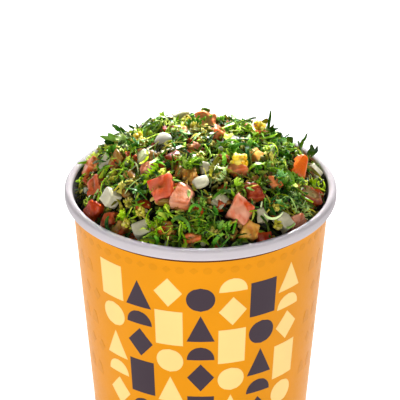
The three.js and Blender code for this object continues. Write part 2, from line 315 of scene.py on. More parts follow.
# Painted shade: the tub's inner wall in a dark grey copy of the white board
shaded_inner_board = paper("shaded_inner_board", srgb(84, 81, 77), PLAIN)
herb = moist(
    "chopped_parsley", srgb(170, 190, 24), share=0.15, grain=500.0, roughness=0.42, coat=0.2, subsurface=0.0,
    reach=(0.6, 1.0, 0.2),
)
stem_green = moist(
    "parsley_stem", srgb(214, 226, 160), share=0.45, grain=300.0, roughness=0.35, coat=0.35, subsurface=0.25,
    reach=(1.0, 1.2, 0.5),
)
tomato = moist(
    "tomato_flesh", srgb(230, 120, 50), share=0.2, grain=420.0, roughness=0.36, coat=0.3, subsurface=0.08,
    reach=(2.0, 0.5, 0.2), bump=0.5,
)
onion = moist(
    "onion_flesh", srgb(208, 200, 168), share=0.35, grain=240.0, roughness=0.34, coat=0.3, subsurface=0.2,
    reach=(1.5, 1.5, 1.3),
)
bulgur = moist(
    "bulgur_grain", srgb(250, 222, 100), share=0.3, grain=500.0, roughness=0.45, coat=0.2, subsurface=0.2,
    reach=(1.2, 0.8, 0.3),
)
# The core's material, near black as painted shade
packed_herb_shade = moist(
    "packed_herb_shade", srgb(28, 34, 10), share=0.4, grain=320.0, roughness=0.6, coat=0.05, subsurface=0.0,
    reach=(1.0, 1.0, 1.0), bump=0.5,
)


# Meshes

def finish(name, points, faces, materials, tint=None, face_slots=None, smooth=False):
    """Makes one piece from points in millimetres and rides it on the tub's body"""
    mesh = bpy.data.meshes.new(name)
    mesh.from_pydata((np.asarray(points) * MM).tolist(), [], [list(map(int, face)) for face in faces])
    if tint is not None:
        colours = np.ones((len(points), 4), dtype=np.float32)
        colours[:, :3] = tint
        mesh.attributes.new("tint", "FLOAT_COLOR", "POINT").data.foreach_set("color", colours.ravel())
    for material in materials:
        mesh.materials.append(material)
    if face_slots is not None:
        mesh.polygons.foreach_set("material_index", np.asarray(face_slots, dtype=np.int32))
    mesh.polygons.foreach_set("use_smooth", np.full(len(mesh.polygons), smooth))
    mesh.validate()
    mesh.update()
    piece = bpy.data.objects.new(name, mesh)
    bpy.context.scene.collection.objects.link(piece)
    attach(piece, BODY)
    return piece


def salad_piece(name, shapes, faces, material, tint, smooth=False):
    """Many things of one kind as one piece: shapes is things by points by 3, tint for each thing or point"""
    starts = (np.arange(len(shapes)) * shapes.shape[1])[:, None, None]
    all_faces = (np.asarray(faces)[None] + starts).reshape(-1, len(faces[0]))
    colours = np.broadcast_to(tint if tint.ndim == 3 else tint[:, None], shapes.shape)
    piece = finish(name, shapes.reshape(-1, 3), all_faces, [material], colours.reshape(-1, 3), None, smooth)


def circle(radius, height, angle):
    """Points of level circles, for arrays of radius and height"""
    angle = np.broadcast_to(angle, np.broadcast_shapes(np.shape(radius), np.shape(height), np.shape(angle)))
    height = np.broadcast_to(height, angle.shape)
    return np.stack([radius * np.cos(angle), radius * np.sin(angle), height], axis=-1).reshape(-1, 3)


def loop_quads(loops, closed=False):
    """Quads between circles of points that follow each other"""
    quads = []
    for loop in range(loops if closed else loops - 1):
        start, above = loop * TURN_STEPS, (loop + 1) % loops * TURN_STEPS
        for turn in range(TURN_STEPS):
            after = (turn + 1) % TURN_STEPS
            quads.append([start + turn, start + after, above + after, above + turn])
    return quads


def slab_faces(rows, columns):
    """Faces of a thin slab: two alike grids of points, row by row, and the rim between them"""
    width = columns + 1
    size = width * (rows + 1)
    faces = []
    for row in range(rows):
        for column in range(columns):
            start = row * width + column
            quad = [start, start + width, start + width + 1, start + 1]
            faces.append(quad)
            faces.append([corner + size for corner in quad[::-1]])
    edge = list(range(width)) + [row * width + columns for row in range(1, rows + 1)]
    edge += [rows * width + column for column in range(columns - 1, -1, -1)]
    edge += [row * width for row in range(rows - 1, 0, -1)]
    for start, end in zip(edge, edge[1:] + edge[:1]):
        faces.append([start, end, end + size, start + size])
    return faces


# Heap surface and the places of the pieces

def heap_top(x, y):
    """Height of the heap's surface, a dome with broad lumps that fade at the wall"""
    share = np.hypot(x, y) / HEAP_RADIUS
    fade = np.maximum(1 - share**4, 0)
    broad = 1.2 * np.sin(x / 7 + 0.8) * np.cos(y / 8 - 0.4)
    diagonal = 0.9 * np.sin((x + 1.6 * y) / 6 + 1)
    dome = CROWN_RISE * (1 - share**CROWN_POWER)
    return TUB_HEIGHT - EDGE_DROP + dome + fade * (broad + diagonal)


def wall_inside(z):
    """Radius of the wall's inner face at a height"""
    return RIM_RADIUS - ROLL_WIDTH + WALL_TAPER * (z - ROLL_TOP)


def axis_turn(angle, axis):
    """Turning matrices about one axis, for an array of angles"""
    angle = np.asarray(angle, dtype=float)
    cosine, sine = np.cos(angle), np.sin(angle)
    first, second = [(1, 2), (2, 0), (0, 1)][axis]
    turned = np.zeros(angle.shape + (3, 3))
    turned[..., axis, axis] = 1
    turned[..., first, first] = cosine
    turned[..., second, second] = cosine
    turned[..., first, second] = -sine
    turned[..., second, first] = sine
    return turned


def slope_turn(x, y):
    """Turning matrices that lean the Z axis to the heap's normal, and the normals"""
    slope_x = (heap_top(x + 1, y) - heap_top(x - 1, y)) / 2
    slope_y = (heap_top(x, y + 1) - heap_top(x, y - 1)) / 2
    normal = np.stack([-slope_x, -slope_y, np.ones_like(slope_x)], axis=-1)
    normal /= np.linalg.norm(normal, axis=-1, keepdims=True)
    cross = np.zeros(normal.shape[:-1] + (3, 3))
    cross[..., 0, 2] = normal[..., 0]
    cross[..., 1, 2] = normal[..., 1]
    cross[..., 2, 0] = -normal[..., 0]
    cross[..., 2, 1] = -normal[..., 1]
    share = 1 / (1 + normal[..., 2])[..., None, None]
    return np.eye(3) + cross + cross @ cross * share, normal


def settle(shapes, x, y, lift, turn, tip, roll=0.0):
    """Sets pieces on the heap, turned, tipped, leaning with the slope and inside the tub"""
    values = [np.asarray(value, dtype=float) for value in (x, y, lift, turn, tip, roll)]
    x, y, lift, turn, tip, roll = (np.broadcast_to(value, len(shapes)) for value in values)
    lean, normal = slope_turn(x, y)
    matrix = lean @ axis_turn(turn, 2) @ axis_turn(-tip, 1) @ axis_turn(roll, 0)
    centre = np.stack([x, y, heap_top(x, y)], axis=-1) + normal * lift[:, None]
    placed = np.einsum("nij,nkj->nki", matrix, shapes) + centre[:, None]
    distance = np.linalg.norm(placed[..., :2], axis=-1)
    over = np.maximum(distance - HEAP_REACH, 0).max(axis=1)
    inward = centre[:, :2] / np.maximum(np.linalg.norm(centre[:, :2], axis=-1, keepdims=True), 1e-6)
    placed[..., :2] -= (inward * over[:, None])[:, None]
    high = np.maximum(placed[..., 2].max(axis=1) - HEAP_CEILING, 0)
    placed[..., 2] -= high[:, None]
    return placed


def spread(count, size, reach, clear, seed):
    """Places spread by the golden angle over the heap, clear of the pieces that show"""
    draw = draws(seed)
    rows = []
    for index in range(count):
        radius = reach * math.sqrt((index + 0.5) / count)
        angle = index * GOLDEN_ANGLE + seed
        x = radius * math.cos(angle) + WANDER * (next(draw) - 0.5)
        y = radius * math.sin(angle) + WANDER * (next(draw) - 0.5)
        row = (x, y, size * (0.8 + 0.4 * next(draw)), 360 * next(draw), LEANINGS * (next(draw) - 0.5))
        if all(math.hypot(x - u, y - v) > clear for u, v, *_ in SHOWN_TOMATOES + SHOWN_ONIONS):
            rows.append(row)
    return rows


def scatter(rng, count, reach=51.0):
    """Random places, even over the heap's sloping surface"""
    places = np.empty((0, 2))
    while len(places) < count:
        tries = rng.uniform(-reach, reach, (count * 3, 2))
        tries = tries[np.hypot(*tries.T) < reach]
        normal = slope_turn(tries[:, 0], tries[:, 1])[1]
        kept = tries[rng.random(len(tries)) * 2 < 1 / normal[:, 2]]
        places = np.concatenate([places, kept])
    return places[:count, 0], places[:count, 1]


# Diced pieces

CORNERS = np.array([
    (1, 1, 1), (1, 1, -1), (1, -1, 1), (1, -1, -1), (-1, 1, -1), (-1, 1, 1), (-1, -1, -1), (-1, -1, 1),
])


def cube_grid(steps):
    """Points in -1 to 1, faces and the side of each point of a cube cut into a grid"""
    points, faces, sides = [], [], []
    line = np.linspace(-1, 1, steps + 1)
    seen = {}

    def corner(point, side):
        key = tuple(np.round(point, 6))
        if key not in seen:
            seen[key] = len(points)
            points.append(point)
            sides.append(side)
        return seen[key]

    for side in range(6):
        axis, sign = side // 2, 1 - 2 * (side % 2)
        first, second = (axis + 1) % 3, (axis + 2) % 3
        for i in range(steps):
            for j in range(steps):
                quad = []
                for u, v in ((i, j), (i + 1, j), (i + 1, j + 1), (i, j + 1)):
                    point = np.zeros(3)
                    point[axis] = sign
                    point[first] = line[u]
                    point[second] = line[v]
                    quad.append(corner(point, side))
                faces.append(quad if sign > 0 else quad[::-1])
    return np.array(points), np.array(faces), np.array(sides)


def rounded(points, radius):
    """The grid of a cube with its edges rounded"""
    inner = np.clip(points, radius - 1, 1 - radius)
    outward = points - inner
    length = np.linalg.norm(outward, axis=-1, keepdims=True)
    return inner + radius * outward / np.maximum(length, 1e-9)


def block_shapes(grid, boxes):
    """Fits a unit grid into eight-cornered blocks: boxes is pieces by 8 by 3"""
    weights = np.prod((1 + grid[:, None] * CORNERS[None]) / 2, axis=-1)
    return np.einsum("kc,ncd->nkd", weights, boxes)


def diced_boxes(rows, draw, cut):
    """Corners of the diced pieces, drawn as the solids are"""
    boxes = []
    for _, _, size, *_ in rows:
        width = size * (0.75 + 0.3 * next(draw))
        shift = np.array([(next(draw) - 0.5) * size * KNIFE_ERROR for _ in range(24)]).reshape(8, 3)
        boxes.append(CORNERS * np.array([size, width, size * cut["flatness"]]) / 2 + shift)
    return np.array(boxes)


def knifed(shapes, rng, cuts, closest):
    """Cuts corners off the pieces along random planes, as a knife does"""
    for _ in range(cuts):
        normal = rng.normal(size=(len(shapes), 1, 3))
        normal /= np.linalg.norm(normal, axis=-1, keepdims=True)
        level = (shapes * normal).sum(axis=-1)
        limit = level.max(axis=1, keepdims=True) * rng.uniform(closest, 1.0, (len(shapes), 1))
        shapes = shapes - np.maximum(level - limit, 0)[..., None] * normal
    return shapes


def ripple(shapes, rng, length):
    """A sine wave of the given length across each piece, in a random direction"""
    wave = rng.normal(size=(len(shapes), 1, 3))
    wave *= 2 * math.pi / length / np.linalg.norm(wave, axis=-1, keepdims=True)
    phase = rng.uniform(0, 2 * math.pi, (len(shapes), 1))
    return np.sin((shapes * wave).sum(axis=-1) + phase)


def wobble(shapes, rng, amount, length):
    """Soft unevenness over pieces, a few waves of the given length"""
    offset = np.zeros_like(shapes)
    for _ in range(4):
        crest = ripple(shapes, rng, length)[..., None]
        offset += rng.normal(size=(len(shapes), 1, 3)) * crest
    return shapes + offset * amount / 2


def lifts(count, cut, raised):
    """Lift of each diced piece over the heap's surface, some of them raised by more"""
    lift = np.full(count, cut["lift"])
    for index, more in raised.items():
        lift[index] += more
    return lift


def place_rows(shapes, rows, lift):
    """Sets diced pieces on the heap by their rows"""
    x, y, _, turn, tip = np.array(rows).T
    return settle(shapes, x, y, lift, np.radians(turn), np.radians(tip))


def blotches(shapes, rng, length):
    """Soft patches over pieces, 0 to 0.8, from a few crossing waves"""
    total = sum(ripple(shapes, rng, length) for _ in range(3))
    return np.clip(0.3 + 0.35 * total, 0, 0.8)


solid_draw = draws(PIECE_SEED)
tomato_rows = SHOWN_TOMATOES + spread(**EXTRA_TOMATOES)
gap_rows = SHOWN_GAPS + spread(**EXTRA_GAPS)
onion_rows = SHOWN_ONIONS + spread(**EXTRA_ONIONS)
bulgur_rows = SHOWN_BULGUR + spread(**EXTRA_BULGUR)
tomato_boxes = diced_boxes(tomato_rows, solid_draw, TOMATO_CUT)
onion_boxes = diced_boxes(onion_rows, solid_draw, ONION_CUT)

DICE_GRID, DICE_FACES, DICE_SIDES = cube_grid(10)
TOP_SIDE = 4

# Looks of tomato: flesh, skin and pale blotches
REDS = {
    "red": palette((176, 36, 4), (196, 46, 4), (200, 74, 14)),
    "flesh": palette((204, 82, 22), (200, 54, 6), (230, 142, 76)),
    "pink": palette((196, 106, 62), (182, 68, 22), (222, 164, 132)),
    "brown": palette((140, 88, 26), (150, 70, 12), (180, 146, 58)),
    "orange": palette((246, 100, 2), (250, 106, 4), (250, 120, 10)),
    "peach": palette((206, 130, 44), (206, 94, 16), (228, 180, 80)),
    "dark": palette((108, 22, 6), (124, 24, 6), (136, 56, 18)),
    "slice": palette((134, 34, 12), (142, 28, 6), (160, 76, 42)),
    "ripe": palette((214, 78, 34), (216, 60, 8), (226, 124, 98)),
    "block": palette((220, 120, 84), (216, 78, 22), (240, 174, 140)),
    "deep": palette((128, 32, 8), (138, 26, 6), (166, 66, 26)),
    "slab": palette((188, 68, 30), (164, 42, 10), (208, 108, 66)),
    "salmon": palette((232, 112, 56), (226, 88, 20), (240, 166, 108)),
}
SHOWN_REDS = [
    "salmon", "flesh", "slab", "red", "slab", "ripe", "pink", "block", "orange", "slice", "deep", "red",
    "pink", "flesh", "salmon", "brown", "dark", "pink", "brown", "brown", "pink", "peach", "dark", "peach",
    "red", "brown", "brown",
]
# Shares of the other tomatoes that have each look, and that have seeds
EXTRA_REDS = {"red": 0.2, "flesh": 0.28, "pink": 0.16, "brown": 0.16, "peach": 0.1, "dark": 0.1}
SEEDED_SHARE = 0.3

# Shown tomatoes that differ, by their place in the list
SEEDED = [0, 2, 5, 9, 13]
PALE_SEEDED = [0, 9]
SLICE = 9
WEDGE = 8
WEDGE_HALVES = np.array([5.4, 3.9, 3.0])
BLOCK = 7
RAISED_TOMATOES = {1: 1.6, 11: 1.4, 12: 0.8}


def make_tomatoes():
    """Tomato dice: flesh on the cut sides, skin on one side, seeds and a dip in some"""
    rng = np.random.default_rng(101)
    count = len(tomato_rows)
    extra = rng.choice(list(EXTRA_REDS), count, p=list(EXTRA_REDS.values()))
    looks = SHOWN_REDS + list(extra[len(SHOWN_REDS):])
    shapes = block_shapes(rounded(DICE_GRID, 0.25), tomato_boxes)
    shapes = wobble(knifed(shapes, rng, 4, 0.68), rng, 0.3, 4.5)
    shapes = wobble(shapes, rng, 0.12, 1.6)
    wedge = rounded(DICE_GRID, 0.35) * WEDGE_HALVES
    wedge[:, 1] *= 0.74 - 0.32 * DICE_GRID[:, 0]
    wedge[:, 2] += 1.6 - 0.03 * wedge[:, 1] ** 2
    shapes[WEDGE] = wedge
    skin_side = rng.choice([0, 1, 2, 3], count)
    tint = np.zeros(shapes.shape)
    cloud = np.maximum(blotches(shapes, rng, 6.0), 0.8 * blotches(shapes, rng, 2.6))
    for index, look in enumerate(looks):
        flesh, skin, pale = REDS[look]
        skinned = DICE_GRID[:, 0] > 0.35 if index == BLOCK else DICE_SIDES == skin_side[index]
        tint[index] = np.where(skinned[:, None], skin, flesh)
        tint[index] += (pale - tint[index]) * cloud[index, :, None]
        if index in SEEDED or (index >= len(SHOWN_REDS) and rng.random() < SEEDED_SHARE):
            across = DICE_GRID[:, :2] ** 2 / (0.4 if index == SLICE else np.array([0.3, 0.08]))
            dip = np.exp(-across.sum(axis=1)) * (DICE_SIDES == TOP_SIDE)
            shapes[index, :, 2] -= 0.8 * dip
            seeds = srgb(176, 182, 112) if index in PALE_SEEDED else srgb(104, 76, 26)
            tint[index] += (seeds * rng.uniform(0.5, 1.3, (len(dip), 1)) - tint[index]) * 0.85 * dip[:, None]
    placed = place_rows(shapes, tomato_rows, lifts(count, TOMATO_CUT, RAISED_TOMATOES))
    salad_piece("tomato_dice", placed, DICE_FACES, tomato, tint, smooth=True)


# Shown onions that differ, by their place in the list
ROUND_ONION = 0
CUBE_ONION = 1
LENS_ONION = 2
SMOOTH_ONIONS = {  # roundness of the edges and half sizes
    ROUND_ONION: (0.95, (3.9, 3.6, 3.3)),
    CUBE_ONION: (0.16, (3.1, 3.2, 2.8)),
    LENS_ONION: (0.8, (3.5, 2.5, 1.6)),
}
SHARD_ONION = 7
BRIGHT_ONIONS = [1, 2, 3, 4, 5, 9]
CLEAR_ONIONS = [6, 7, 10]
RAISED_ONIONS = {2: 1.8, 4: 1.8, 5: 0.5, 7: 1.0, 9: 1.8}


def make_onions():
    """Onion pieces: bowed layers with soft edges, a few of them glassy and dull"""
    rng = np.random.default_rng(102)
    shapes = block_shapes(rounded(DICE_GRID, 0.2), onion_boxes)
    shapes[CLEAR_ONIONS, :, 2] *= 0.45
    shapes[SHARD_ONION] *= 0.8
    shapes = wobble(knifed(shapes, rng, 2, 0.8), rng, 0.2, 5.0)
    shapes[..., 2] -= (shapes[..., 0] ** 2 + shapes[..., 1] ** 2) * 0.015
    for index, (radius, halves) in SMOOTH_ONIONS.items():
        shapes[index] = rounded(DICE_GRID, radius) * np.array(halves)
    smooth = list(SMOOTH_ONIONS)
    shapes[smooth] = wobble(shapes[smooth], rng, 0.2, 6.0)
    shapes[[ROUND_ONION, CUBE_ONION], :, 2] += 1.3
    whites = palette((200, 196, 176), (170, 182, 126), (190, 182, 158), (152, 162, 100))
    kinds = whites[rng.integers(0, 4, len(shapes))]
    # Painted shade: the other onions, set lower among the herbs, are darkened to half
    kinds[len(SHOWN_ONIONS):] *= 0.5
    kinds[ROUND_ONION] = srgb(216, 211, 204)
    kinds[BRIGHT_ONIONS] = srgb(206, 200, 172)
    kinds[CLEAR_ONIONS] = srgb(164, 156, 122)
    tint = np.repeat(kinds[:, None], len(DICE_GRID), axis=1)
    tint += (srgb(164, 160, 116) - tint) * blotches(shapes, rng, 9.0)[..., None] * 0.35
    lift = lifts(len(shapes), ONION_CUT, RAISED_ONIONS)
    lift[len(SHOWN_ONIONS):] -= 1.0
    placed = place_rows(shapes, onion_rows, lift)
    salad_piece("onion_dice", placed, DICE_FACES, onion, tint, smooth=True)


# Place of the largest yellow crumb in the list: it and the two before it stand out most
YOLK = 2
KNOBS = 34


def make_crumbs():
    """Yellow clumps of soft bulgur, each a cluster of small knobs"""
    rng = np.random.default_rng(103)
    grid, faces, _ = cube_grid(3)
    ball = rounded(grid, 0.85)
    x, y, size, *_ = np.repeat(np.array(bulgur_rows), KNOBS, axis=0).T
    spot = rng.normal(size=(len(x), 3)) * np.array([1, 1, 0.8])
    spot /= np.linalg.norm(spot, axis=1, keepdims=True)
    spot *= (size * 0.44)[:, None] * rng.uniform(0.4, 1, (len(x), 1))
    radius = size * rng.uniform(0.08, 0.19, len(x))
    shapes = ball[None] * radius[:, None, None] * rng.uniform(0.75, 1.25, (len(x), 1, 3))
    shapes = wobble(shapes, rng, 0.14, 1.6) + spot[:, None]
    sort = np.arange(len(x)) // KNOBS
    high = np.where(sort < len(SHOWN_BULGUR), 0.8, -0.6)
    high[sort < YOLK] = 2.6
    high[sort == YOLK] = 1.9
    placed = settle(shapes, x, y, high, 0, 0)
    yellows = palette((255, 218, 40), (255, 200, 20), (255, 230, 96), (252, 186, 34))
    olives = palette((190, 186, 50), (214, 200, 70), (160, 150, 40), (224, 206, 110))
    kinds = yellows[rng.integers(0, 4, len(x))]
    kinds[sort > YOLK] = olives[rng.integers(0, 4, int((sort > YOLK).sum()))]
    # Painted shade: the other clumps, set lower, are darkened
    kinds[sort >= len(SHOWN_BULGUR)] *= 0.7
    salad_piece("bulgur_clumps", placed, faces, bulgur, kinds, smooth=True)


def make_grains():
    """Loose bulgur grains and small scraps of tomato and onion between the herbs"""
    rng = np.random.default_rng(104)
    grid, faces, _ = cube_grid(3)
    ball = rounded(grid, 0.8)
    for name, material, count, sizes, colours, depth in (
        ("bulgur_grains", bulgur, 420, (2.0, 1.4, 1.2),
         palette((150, 128, 52), (128, 96, 40), (190, 166, 84), (104, 84, 34)), (-2.8, 0.2)),
        ("tomato_bits", tomato, 150, (6.0, 4.2, 2.4),
         palette((146, 86, 28), (170, 112, 44), (176, 70, 18), (126, 94, 30)), (-2.8, -0.4)),
        ("onion_bits", onion, 50, (2.6, 1.6, 1.0),
         palette((186, 190, 160), (160, 174, 120), (196, 192, 184), (166, 162, 120)), (-1.8, 0.6)),
    ):
        x, y = scatter(rng, count)
        half = np.array(sizes) / 2 * rng.uniform(0.6, 1.3, (count, 1)) * rng.uniform(0.8, 1.2, (count, 3))
        shapes = wobble(ball[None] * half[:, None], rng, 0.12 * sizes[0], 2.6)
        lift = rng.uniform(*depth, count)
        turn = rng.uniform(0, 2 * math.pi, count)
        placed = settle(shapes, x, y, lift, turn, rng.normal(0, 0.6, count), rng.normal(0, 0.6, count))
        kinds = colours[rng.integers(0, 4, count)] * rng.uniform(0.8, 1.15, (count, 1))
        salad_piece(name, placed, faces, material, kinds, smooth=True)


# Parsley

LEAVES = 1150
STEMS = 150
LOOSE_TUFTS = 230
FANS = 4
FRILL_RINGS = 3
FRILL_TURNS = 14
TUBE_SIDES = 4
CLUMP_RISE = 1.0
HERB_RISE = 4.5

# Thinning over dice and gaps: shares of their size kept clear, and the lift from which a herb hides them
SHOWN_REACH, OTHER_REACH, GAP_REACH = 0.6, 0.4, 0.7
DICE_COVER = -1.6
GAP_COVER = -3.2
GAP_SHARE = 0.06

# Painted shade of the herbs by depth: black at the deepest, full colour a range above it, within bounds; the
# upper bound is over 1, so the highest herbs also get painted light
SHADE_DEEPEST = -3.6
SHADE_RANGE = 4.2
SHADE_BOUNDS = (0.15, 1.12)

# Shades of each kind of green, dark to pale
GREENS = {
    "mid": palette((18, 44, 4), (60, 114, 5), (134, 180, 14), (204, 222, 84)),
    "lime": palette((36, 76, 2), (110, 166, 4), (184, 218, 10), (228, 238, 92)),
    "deep": palette((8, 34, 3), (28, 94, 8), (74, 150, 16), (150, 200, 68)),
    "blue": palette((8, 30, 14), (26, 80, 32), (64, 130, 52), (150, 196, 112)),
    "olive": palette((46, 42, 8), (112, 108, 16), (172, 162, 34), (218, 206, 100)),
    "mint": palette((40, 74, 26), (104, 146, 60), (166, 198, 104), (222, 234, 176)),
}
GREEN_NAMES = list(GREENS)
GREEN_TABLE = np.array([GREENS[name] for name in GREEN_NAMES])
GREEN_SHARES = np.array([0.36, 0.16, 0.22, 0.05, 0.17, 0.04])


def thinned(rng, share, x, y, lift, *more):
    """The herbs that stay: few of those that would hide a diced piece or fill a dark gap do"""
    kept = rng.random(len(x)) < 0.8 + 0.5 * clump(x, y)
    shown = [row[:2] for row in SHOWN_TOMATOES + SHOWN_ONIONS + SHOWN_BULGUR]
    for u, v, size, *_ in tomato_rows + onion_rows + SHOWN_BULGUR:
        reach = SHOWN_REACH if (u, v) in shown else OTHER_REACH
        near = (np.hypot(x - u, y - v + 0.2 * size) < size * reach) & (lift > DICE_COVER)
        kept &= ~near | (rng.random(len(x)) < share)
    for u, v, size, *_ in gap_rows:
        near = (np.hypot(x - u, y - v) < size * GAP_REACH) & (lift > GAP_COVER)
        kept &= ~near | (rng.random(len(x)) < GAP_SHARE)
    return [values[kept] for values in (x, y, lift, *more)]


def clump(x, y):
    """Where the herbs bunch up, -1 to 1: they stand higher there and thin out between"""
    return np.sin(x / 2 + 1.5 * np.sin(y / 3.1)) * np.cos(y / 1.8 - 1.3 * np.sin(x / 2.7))


def combed(rng, x, y):
    """Turn of each strand about the heap's normal, alike for neighbours"""
    field = 1.6 * np.sin(x / 8 + 1.3 * np.sin(y / 9)) + 1.6 * np.cos(y / 7 - np.sin(x / 8))
    return field + rng.normal(0, 0.6, len(x))


def green_kinds(rng, x, y):
    """Kind of green for each herb, alike for neighbours"""
    field = np.sin(x / 5.3 + 1.7 * np.sin(y / 7.1)) + np.cos(y / 4.7 - 1.3 * np.sin(x / 6.3))
    field = field + rng.normal(0, 0.55, len(x))
    order = np.argsort(np.argsort(field)) / max(len(x), 1)
    return np.searchsorted(np.cumsum(GREEN_SHARES), order, side="right").clip(0, len(GREEN_SHARES) - 1)


def green_tints(rng, kinds, lift, edge):
    """Colours of herbs, with painted shade that darkens those lying deep, and a painted highlight that makes
    them paler at the margin, where edge is 1
    """
    share = rng.beta(1.0, 1.0, len(kinds))[:, None]
    # Painted highlight: the margin, where edge is 1, moves the colour up the table towards the pale shades
    place = np.clip(share * 0.8 + edge[None] * 0.3, 0, 1) * 3
    low = np.minimum(place.astype(int), 2)
    part = (place - low)[..., None]
    table = GREEN_TABLE[kinds]
    rows = np.arange(len(kinds))[:, None]
    colours = table[rows, low] * (1 - part) + table[rows, low + 1] * part
    # Painted shade: colour falls off cubed with depth, and the highest herbs come out brighter than their
    # colour
    depth = np.clip((lift - SHADE_DEEPEST) / SHADE_RANGE, *SHADE_BOUNDS)[:, None, None] ** 3
    return colours * depth


def ribbon_shapes(length, width, thickness, bend, swerve, twist, taper, stations=6):
    """Thin strips that arch, swerve and twist along their length"""
    count = len(length)
    along = np.linspace(-0.5, 0.5, stations)
    middle = (along[:-1] + along[1:]) / 2
    heading = swerve[:, None] * middle
    pitch = bend[:, None] * middle
    step = (length / (stations - 1))[:, None]
    line = np.zeros((count, stations, 3))
    line[:, 1:, 0] = np.cumsum(step * np.cos(pitch) * np.cos(heading), axis=1)
    line[:, 1:, 1] = np.cumsum(step * np.sin(heading), axis=1)
    line[:, 1:, 2] = np.cumsum(-step * np.sin(pitch), axis=1)
    line -= line.mean(axis=1, keepdims=True)
    heading = swerve[:, None] * along
    pitch = bend[:, None] * along
    forward = np.stack([np.cos(pitch) * np.cos(heading), np.sin(heading), -np.sin(pitch)], axis=-1)
    forward /= np.linalg.norm(forward, axis=-1, keepdims=True)
    side = np.stack([-np.sin(heading), np.cos(heading), np.zeros_like(heading)], axis=-1)
    up = np.cross(forward, side)
    turn = (twist[:, None] * along)[..., None]
    across = side * np.cos(turn) + up * np.sin(turn)
    above = up * np.cos(turn) - side * np.sin(turn)
    narrow = 1 - taper[:, None] * np.abs(2 * along) ** 2.5
    half_width = (width[:, None] * narrow / 2)[..., None]
    half_thick = (thickness / 2)[:, None, None]
    corners = [
        line + across * half_width + above * half_thick,
        line - across * half_width + above * half_thick,
        line - across * half_width - above * half_thick,
        line + across * half_width - above * half_thick,
    ]
    return np.stack(corners, axis=2).reshape(count, stations * TUBE_SIDES, 3)


def ribbon_faces(stations=6):
    faces = [[3, 2, 1, 0]]
    for station in range(stations - 1):
        start = station * TUBE_SIDES
        for side in range(TUBE_SIDES):
            other = (side + 1) % TUBE_SIDES
            faces.append([start + side, start + other, start + TUBE_SIDES + other, start + TUBE_SIDES + side])
    last = (stations - 1) * TUBE_SIDES
    faces.append([last, last + 1, last + 2, last + 3])
    return faces


def make_shreds():
    """Fine shreds and wider curled ribbons of parsley, some of them sticking out"""
    rng = np.random.default_rng(105)
    for name, count, stations, lengths, widths, bends, swerves, depth, tilt in (
        ("parsley_shreds", 2600, 6, (4, 13), (0.35, 0.9), (0.5, 0.6), 1.0, (-3.3, 1.3), 0.35),
        ("parsley_curls", 1500, 9, (6, 17), (0.7, 2.0), (1.1, 1.1), 2.2, (-3.0, 1.3), 0.35),
    ):
        x, y = scatter(rng, count)
        lift = depth[0] + (depth[1] - depth[0]) * rng.beta(1.5, 1.3, count) + CLUMP_RISE * clump(x, y)
        x, y, lift = thinned(rng, 0.16, x, y, lift)
        count = len(x)
        shapes = ribbon_shapes(
            rng.uniform(*lengths, count), rng.uniform(*widths, count), rng.uniform(0.2, 0.35, count),
            rng.normal(*bends, count), rng.normal(0, swerves, count), rng.normal(0, 1.6, count),
            rng.uniform(0.2, 0.95, count), stations,
        )
        turn = combed(rng, x, y)
        placed = settle(shapes, x, y, lift, turn, rng.normal(0, tilt, count), rng.normal(0, 0.8, count))
        proud = placed[..., 2].max(axis=1) - heap_top(x, y) - HERB_RISE
        placed[..., 2] -= np.maximum(proud, 0)[:, None]
        # Both ends of each strand count as edge for the painted highlight, and its lift sets its painted
        # shade
        ends = np.repeat(np.abs(np.linspace(-1, 1, stations)), TUBE_SIDES)
        tint = green_tints(rng, green_kinds(rng, x, y), lift, ends)
        salad_piece(name, placed, ribbon_faces(stations), herb, tint)


def leaf_faces(teeth):
    """Two alike faces of a leaf and the rim between them: centre, inner ring, outer ring"""
    faces = []
    size = 1 + 2 * teeth
    for side in range(2):
        start = side * size
        for tooth in range(teeth):
            after = (tooth + 1) % teeth
            inner, inner_after = start + 1 + tooth, start + 1 + after
            outer, outer_after = inner + teeth, inner_after + teeth
            tris = [[start, inner, inner_after], [inner, outer, outer_after]]
            tris.append([inner, outer_after, inner_after])
            faces += [tri[::-1] for tri in tris] if side else tris
    for tooth in range(teeth):
        top, after = 1 + teeth + tooth, 1 + teeth + (tooth + 1) % teeth
        faces += [[top, top + size, after + size], [top, after + size, after]]
    return faces


def leaf_shapes(rng, size, ruffle, teeth):
    """Ragged, ruffled scraps of leaf"""
    count = len(size)
    angle = np.linspace(0, 2 * math.pi, teeth, endpoint=False)[None] + rng.normal(0, 0.12, (count, teeth))
    lobes = 1 + 0.3 * np.cos(3 * angle + rng.uniform(0, 6, (count, 1)))
    tooth = np.where(np.arange(teeth) % 2, 0.72, 1.0)[None] * rng.uniform(0.75, 1.2, (count, teeth))
    reach = (size / 2)[:, None] * lobes * tooth
    squeeze = rng.uniform(0.4, 1, count)[:, None]
    flat = np.zeros((count, 1 + 2 * teeth, 3))
    for ring, share in ((0, 0.5), (1, 1.0)):
        columns = slice(1 + ring * teeth, 1 + (ring + 1) * teeth)
        flat[:, columns, 0] = reach * share * np.cos(angle)
        flat[:, columns, 1] = reach * share * np.sin(angle) * squeeze
        waves = np.sin(3 * angle + rng.uniform(0, 6, (count, 1)))
        waves = waves + np.cos(5 * angle + rng.uniform(0, 6, (count, 1)))
        flat[:, columns, 2] = share**2 * ruffle[:, None] * waves
    bow = rng.normal(0, 0.12, count)[:, None]
    flat[..., 2] -= bow * flat[..., 0] ** 2
    under = flat - np.array([0, 0, 0.25])
    return np.concatenate([flat, under], axis=1)


